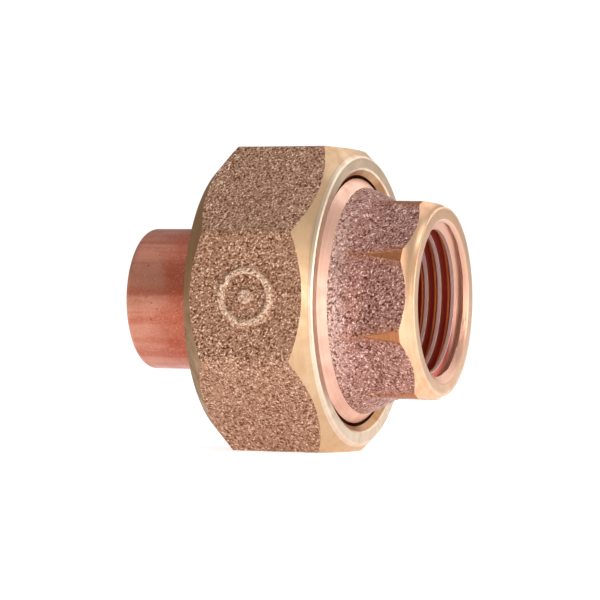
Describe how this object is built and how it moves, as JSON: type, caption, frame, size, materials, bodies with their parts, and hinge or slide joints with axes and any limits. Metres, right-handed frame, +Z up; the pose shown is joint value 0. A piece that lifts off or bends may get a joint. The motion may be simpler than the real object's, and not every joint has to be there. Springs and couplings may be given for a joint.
{
  "type": "pipe union",
  "caption": "Flat-seat pipe union: a captive octagon nut draws a copper solder tail onto a cast adapter with a female pipe thread.",
  "frame": {"origin": "on the fitting's axis where the crests of the female pipe thread begin, 1.28 mm inside the adapter's end face", "axes": "+X along the axis, out of the female thread; +Z up, square to the nut's top and bottom flats; the nut's -Y flat carries the foundry mark"},
  "size_m": [0.041, 0.0398, 0.0394],
  "materials": {
    "adapter_bronze": "sand-cast bronze, machined end and collar",
    "nut_bronze": "sand-cast bronze, machined cone and face",
    "packing": "compressed fibre and rubber sheet, matt",
    "collar_bronze": "turned bronze",
    "copper": "drawn copper, satin",
    "braze": "brazing alloy, as flowed"
  },
  "bodies": {
    "adapter": {"adapter_body": "adapter_bronze"},
    "tail": {"copper_tail": "copper", "tail_collar": "collar_bronze", "braze_fillet": "braze", "gasket": "packing"},
    "nut": {"union_nut": "nut_bronze"}
  },
  "joints": [
    {"name": "tail_withdraw", "type": "slide", "parent": "adapter", "child": "tail", "axis": [-1, 0, 0], "range_m": [0, 0.00675]},
    {"name": "nut_turn", "type": "hinge", "parent": "tail", "child": "nut", "pos_m": [-0.0184, 0, 0], "axis": [-1, 0, 0], "range_deg": [0, 1620]}
  ],
  "couplings": [
    {"joint": "tail_withdraw", "follows": "nut_turn", "m_per_rad": 0.00023873}
  ]
}
